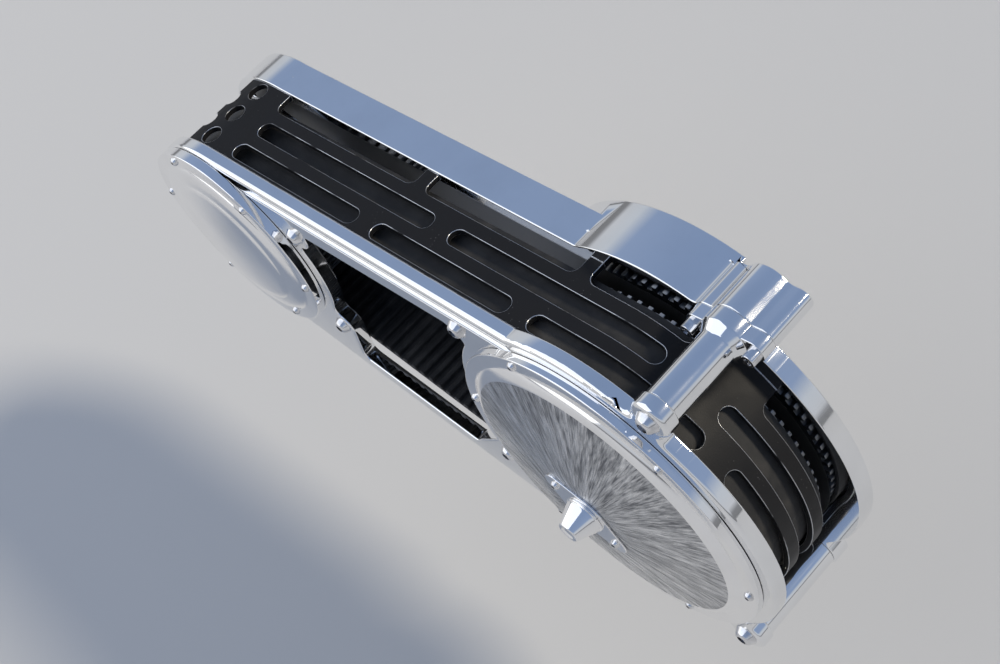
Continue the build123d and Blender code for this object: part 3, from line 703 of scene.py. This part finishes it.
# %% [markdown]
# ## Plates, guard and standoffs
# These shapes are right as CAD made them, and lack only their edges. A copy of a CAD mesh comes
# as loose triangles, so it is merged first and its flat areas are joined, and then the sharp
# edges can be found and rounded. The table gives each piece its own width.
#
# Two pieces need more. The belt's edge is drawn out until it nearly touches the outer plate. On
# the outer plate the milled groove gets a rounded floor, as a ball-ended cutter leaves it, so it
# mirrors as soft bands, and the lower rail's back edges stay nearly sharp.

# %% Dressed copies of the CAD solids
FLAT = math.radians(0.4)
body_of_node = {}
for body, members in frame["record"]["behaviour"]["bodies"].items():
    for member in members:
        body_of_node[member] = body

dressed_table = [
    # node, finish, edge width in mm, segments
    ("motor_plate", motor_plate_finish, 0.9, 3),
    ("outer_plate", mirror_plate, 1.2, 3),
    ("standoff_rear_top", mirror_plate, 0.6, 2),
    ("standoff_rear_bottom", mirror_plate, 0.6, 2),
    ("post_front", mirror_plate, 0.6, 2),
    ("post_front_bottom", mirror_plate, 0.6, 2),
    ("guard", black_coat, 0.35, 2),
    ("belt", belt_rubber, 0.5, 2),
    ("front_pulley", metal["crank_alloy"], 0.25, 1),
    ("front_pulley_flange", metal["crank_steel"], 0.3, 2),
    ("clutch_drum", metal["clutch_alloy"], 0.25, 1),
    ("mainshaft_bearing", metal["clutch_steel"], 0.4, 2),
    ("clutch_hub", metal["clutch_steel"], 0.5, 2),
]

SLACK = 0.1  # how far a corner may lie from the face that it belongs to
PLATE_BACK, OUTER_FACE = 84.0, 94.0  # the outer plate's two faces
GROOVE_FLOOR, GROOVE_COVE = 91.0, 2.4
GROOVE_WALL = 1.0  # a groove's wall is at least this deep
RAIL_START, RAIL_END, RAIL_TOP = 80.0, 240.0, -70.0
RAIL_BACK_EDGE = 0.3
BELT_EDGE, BELT_DRAWN_OUT = 81.0, 2.0


def outs(item):
    """How far outboard each corner of an edge or a face lies, in millimetres."""
    return [-vert.co.y / MM for vert in item.verts]


def is_groove_wall(face):
    """True for a wall of the groove milled in the outer plate's face."""
    low, high = min(outs(face)), max(outs(face))
    return low > GROOVE_FLOOR - SLACK and high - low > GROOVE_WALL


def beside_groove(edge):
    """True for the edges of the groove's walls."""
    return any(is_groove_wall(face) for face in edge.link_faces)


def under_groove(edge):
    """True for the edges where the groove's walls meet its floor."""
    return beside_groove(edge) and max(outs(edge)) < GROOVE_FLOOR + SLACK


def at_rail_back(edge):
    """True for the lower rail's back edges."""
    places = [vert.co / MM for vert in edge.verts]
    on_rail = all(RAIL_START < spot.x < RAIL_END and spot.z < RAIL_TOP for spot in places)
    return on_rail and max(outs(edge)) < PLATE_BACK + SLACK


def elsewhere(edge):
    """True for the outer plate's other edges."""
    return not (beside_groove(edge) or at_rail_back(edge))


for name, finish, width, segments in dressed_table:
    bm = bmesh.new()
    bm.from_mesh(frame["nodes"][name].data)
    bmesh.ops.remove_doubles(bm, verts=bm.verts, dist=WELD)
    bmesh.ops.dissolve_limit(bm, angle_limit=FLAT, verts=bm.verts, edges=bm.edges)
    if name == "belt":
        edge_points = [vert for vert in bm.verts if -vert.co.y / MM > BELT_EDGE - SLACK]
        bmesh.ops.translate(bm, vec=place(0, BELT_DRAWN_OUT, 0), verts=edge_points)
    if name == "outer_plate":
        rounded = round_edges(bm, width, segments, elsewhere)
        rounded += round_edges(bm, RAIL_BACK_EDGE, 1, at_rail_back)
        rounded += round_edges(bm, GROOVE_COVE, 5, under_groove)
    else:
        rounded = round_edges(bm, width, segments)
    show("dressed_" + name, bm, [finish], body_of_node[name], (name,))
    print("  edges rounded:", rounded)

# %% [markdown]
# Solids that hardly show, such as the clutch pack inside the drum, keep their CAD meshes and
# only get a finish.

# %% Solids that keep their meshes
plain_table = [
    ("crank_nut", metal["crank_steel"]),
    ("clutch_pack", metal["clutch_steel"]),
    ("pressure_plate", metal["clutch_steel"]),
]
for name, finish in plain_table:
    mesh = frame["nodes"][name].data
    mesh.materials.clear()
    mesh.materials.append(finish)
print("finishes given:", [row[0] for row in plain_table])

# %% [markdown]
# ## Covers and nose
# Each cover is one turned shell. Its outline is a short list of corners, spun round the shaft
# and then rounded, so the steps show the soft bright lines of polished work. The front cover's
# middle is slightly domed. A low lip at the rim reaches almost down to the outer plate.

# %% Front cover
FRONT_COVER_FACE = 101.5  # where its screws sit
LIP = 94.2  # the end of a cover's lip, just clear of the outer plate
GASKET_FACE = 95.0
front_outline = [
    # radius, distance outboard
    (0.0, 107.5),
    (14.0, 107.4),
    (30.0, 107.1),
    (44.0, 106.7),
    (47.5, 106.4),
    (49.5, 105.8),
    (50.3, 105.1),
    (52.5, 105.0),
    (56.5, 104.7),
    (60.0, 104.0),
    (62.5, 102.9),
    (64.0, FRONT_COVER_FACE),
    (74.0, FRONT_COVER_FACE),
    (74.0, LIP),
    (72.6, LIP),
    (72.6, GASKET_FACE),
    (57.0, GASKET_FACE),
    (57.0, 97.0),
    (47.0, 99.5),
    (44.0, 103.0),
    (0.0, 103.0),
]
bm = turned_shape(CRANK_X, front_outline)
round_edges(bm, 0.8, 3)
show("front_cover_turned", bm, [front_chrome], "housing", ("front_cover",))

# %% [markdown]
# The rear cover's flange steps up to a shallow cone through a curve. The cone ends in a small
# flat, where the nose is screwed on. Only the faces inside the curve are brushed.

# %% Rear cover
REAR_COVER_FACE = 100.0
CONE_RADIUS, CONE_FOOT = 90.6, 104.1
NOSE_FLAT = 116.0
BRUSHED_MARGIN = 0.5
rear_outline = [
    (0.0, NOSE_FLAT),
    (31.0, NOSE_FLAT),
    (CONE_RADIUS, CONE_FOOT),
    (92.4, 103.6),
    (94.4, 102.8),
    (96.2, 101.7),
    (97.6, 100.4),
    (98.2, REAR_COVER_FACE),
    (107.0, REAR_COVER_FACE),
    (107.0, LIP),
    (105.6, LIP),
    (105.6, GASKET_FACE),
    (88.0, GASKET_FACE),
    (88.0, 101.0),
    (31.0, 113.0),
    (0.0, 113.0),
]
bm = turned_shape(CLUTCH_X, rear_outline)
round_edges(bm, 0.8, 3)
cone_faces = 0
for face in bm.faces:
    middle = face.calc_center_median()
    reach = math.hypot(middle.x - CLUTCH_X * MM, middle.z)
    if reach < (CONE_RADIUS - BRUSHED_MARGIN) * MM and face.normal.y < 0:
        face.material_index = 1
        cone_faces += 1
rear_finishes = [rear_chrome, brushed_cone]
show("rear_cover_turned", bm, rear_finishes, "housing", ("rear_cover",))
print("brushed faces:", cone_faces)

# %% [markdown]
# Under each cover lies a thin gasket. The lip on the cover's rim hides most of it, so only a
# hairline of dark shows all round. Each gasket is a flat ring, turned from four corners.

# %% Gaskets
GASKET_TOP = 94.95
gasket_table = [
    # name, shaft, inner and outer radius
    ("front_cover_gasket", CRANK_X, 57.0, 72.4),
    ("rear_cover_gasket", CLUTCH_X, 88.0, 105.4),
]
for name, shaft_x, inner, outer in gasket_table:
    corners = [(inner, OUTER_FACE), (outer, OUTER_FACE), (outer, GASKET_TOP), (inner, GASKET_TOP)]
    bm = turned_shape(shaft_x, corners + corners[:1])
    show(name + "_turned", bm, [gasket_rubber], "housing", (name,))

# %% [markdown]
# The nose is a short, blunt cone on a thin leaf-shaped flange. The flange begins as three discs
# in a row, a wide one in the middle and a small one under each screw, and the convex hull
# operator stretches a skin round all three, which is just how such a lozenge is drawn.

# %% Nose and its flange
NOSE_TURN = 145.0  # the way that the flange points, in degrees
FLANGE_FACE = 117.4
DISC_SIDES = 48
flange_discs = [(0.0, 17.5), (-24.0, 7.5), (24.0, 7.5)]  # place along the flange and radius
bm = bmesh.new()
for along, radius in flange_discs:
    for out in (NOSE_FLAT, FLANGE_FACE):
        middle = round_shaft(CLUTCH_X, along, NOSE_TURN, out)
        turn = Matrix.Translation(middle) @ Matrix.Rotation(math.radians(90), 4, "X")
        bmesh.ops.create_circle(bm, segments=DISC_SIDES, radius=radius * MM, matrix=turn)
skin = bmesh.ops.convex_hull(bm, input=bm.verts)
bmesh.ops.delete(bm, geom=skin["geom_interior"] + skin["geom_unused"], context="VERTS")
flat_enough = math.radians(1.0)
bmesh.ops.dissolve_limit(bm, angle_limit=flat_enough, verts=bm.verts, edges=bm.edges)
bmesh.ops.recalc_face_normals(bm, faces=bm.faces)
round_edges(bm, 0.4, 2)
show("nose_flange_leaf", bm, [rear_chrome], "housing", ("nose_flange",))

nose_outline = [
    (0.0, FLANGE_FACE),
    (12.9, FLANGE_FACE),
    (12.9, 118.4),
    (12.1, 118.9),
    (12.1, 119.5),
    (11.7, 120.4),
    (7.2, 131.6),
    (6.4, 132.4),
    (5.0, 132.4),
    (3.6, 131.4),
    (0.0, 131.2),
]
bm = turned_shape(CLUTCH_X, nose_outline)
round_edges(bm, 0.3, 2)
show("nose_turned", bm, [rear_chrome], "housing", ("nose_cone",))

# %% [markdown]
# ## Screws
# The screws are small but they tell the eye how big everything is. A button head is a low dome
# with a six-sided socket. It starts as a short cone, its top is inset, the inner ring of points
# is pushed out to a hexagon, and that hexagon is sunk. A cap screw is the same with a tall,
# straight head.

# %% A screw head
HEAD_SIDES = 24
SOCKET_SIDE = math.tau / 6
LEAST_INSET = 0.05  # mm
screw_kinds = {
    # head height, top radius, socket's half width and depth, edge width: shares of the radius
    "button": (0.62, 0.62, 0.42, 0.40, 0.22),
    "cap": (1.6, 1.0, 0.52, 0.55, 0.14),
}


def top_of(bm):
    """The face that lies highest."""
    return max(bm.faces, key=lambda face: face.calc_center_median().z)


def add_screw(bm, kind, seat, radius_mm, turn_degrees):
    """Adds one screw head to a mesh, sitting on a point and facing outboard."""
    radius = radius_mm * MM
    height, top, socket, depth, edge_width = (share * radius for share in screw_kinds[kind])
    head = bmesh.new()
    bmesh.ops.create_cone(
        head, cap_ends=True, segments=HEAD_SIDES, radius1=radius, radius2=top, depth=height
    )
    bmesh.ops.translate(head, vec=(0, 0, height / 2), verts=head.verts)
    bmesh.ops.bevel(
        head,
        geom=list(top_of(head).edges),
        offset=edge_width,
        segments=3,
        profile=0.5,
        affect="EDGES",
        material=-1,
    )
    cap = top_of(head)
    reach = min(math.hypot(vert.co.x, vert.co.y) for vert in cap.verts)
    inset = max(reach - socket * 1.1, LEAST_INSET * MM)
    bmesh.ops.inset_region(head, faces=[cap], thickness=inset)
    for vert in cap.verts:
        way = math.atan2(vert.co.y, vert.co.x)
        to_side = (way + SOCKET_SIDE / 2) % SOCKET_SIDE - SOCKET_SIDE / 2
        length = socket / math.cos(to_side)
        vert.co.x, vert.co.y = length * math.cos(way), length * math.sin(way)
    sunk = bmesh.ops.extrude_face_region(head, geom=[cap])["geom"]
    floor_points = [item for item in sunk if isinstance(item, bmesh.types.BMVert)]
    bmesh.ops.translate(head, vec=(0, 0, -depth), verts=floor_points)
    bmesh.ops.delete(head, geom=[cap], context="FACES_ONLY")
    upright = Matrix.Rotation(math.radians(90), 4, "X")
    turned_round = Matrix.Rotation(math.radians(turn_degrees), 4, "Z")
    seated = Matrix.Translation(seat) @ upright @ turned_round
    bmesh.ops.transform(head, matrix=seated, verts=head.verts)
    bmesh.ops.recalc_face_normals(head, faces=head.faces)
    carrier = bpy.data.meshes.new("screw")
    head.to_mesh(carrier)
    head.free()
    bm.from_mesh(carrier)
    bpy.data.meshes.remove(carrier)


print("screw kinds:", list(screw_kinds))

# %% [markdown]
# The screws go where the photograph shows them: six round each cover, one in each ear of the
# outer plate, one at the end of each rear standoff, and two in the leaf under the nose. Two
# tall ones hold the foot of the upper standoff. Nobody lines up sockets, so each screw is
# turned a little further than the one before it.

# %% Screws in their places
TURN_EACH = 17.0  # degrees
SIXTHS = [56.0 + 60.0 * k for k in range(6)]
STANDOFF_TOP, STANDOFF_BOTTOM = (382.4, 118.9), (412.0, -94.0)
FOOT_FACE, FOOT_REACH, FOOT_TURN = 34.0, 20.7, math.radians(10.0)


def ring_of(shaft_x, radius, turns, out):
    """Points at one radius round a shaft."""
    return [round_shaft(shaft_x, radius, turn, out) for turn in turns]


foot_screws = [
    (
        STANDOFF_TOP[0] + side * FOOT_REACH * math.cos(FOOT_TURN),
        STANDOFF_TOP[1] + side * FOOT_REACH * math.sin(FOOT_TURN),
    )
    for side in (-1, 1)
]
screw_table = [
    # name, kind, radius, seat points
    ("front_cover_screws", "button", 3.2, ring_of(CRANK_X, 68.0, SIXTHS, FRONT_COVER_FACE)),
    ("rear_cover_screws", "button", 3.2, ring_of(CLUTCH_X, 101.8, SIXTHS, REAR_COVER_FACE)),
    (
        "nose_screws",
        "button",
        3.2,
        [round_shaft(CLUTCH_X, side * 23.5, NOSE_TURN, FLANGE_FACE) for side in (-1, 1)],
    ),
    ("front_ear_screws", "button", 6.6, ring_of(CRANK_X, 91.0, (32.5, -32.5), OUTER_FACE)),
    ("rear_ear_screws", "button", 6.6, ring_of(CLUTCH_X, 124.0, (142.5, -146.5), OUTER_FACE)),
    (
        "standoff_screws",
        "button",
        7.6,
        [place(x, OUTER_FACE, z) for x, z in (STANDOFF_TOP, STANDOFF_BOTTOM)],
    ),
    ("foot_screws", "cap", 4.2, [place(x, FOOT_FACE, z) for x, z in foot_screws]),
]
for name, kind, radius, seats in screw_table:
    bm = bmesh.new()
    for index, seat in enumerate(seats):
        add_screw(bm, kind, seat, radius, TURN_EACH * index)
    show(name, bm, [screw_steel], "housing")

# %% [markdown]
# ## Sizes
# The dressed drive's box and the CAD's own box are printed side by side.

# %% Sizes
seen_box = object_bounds()
for label, box in (("cad", cad_box), ("visual", seen_box)):
    print(label, [round(high - low, 4) for low, high in zip(*box)])
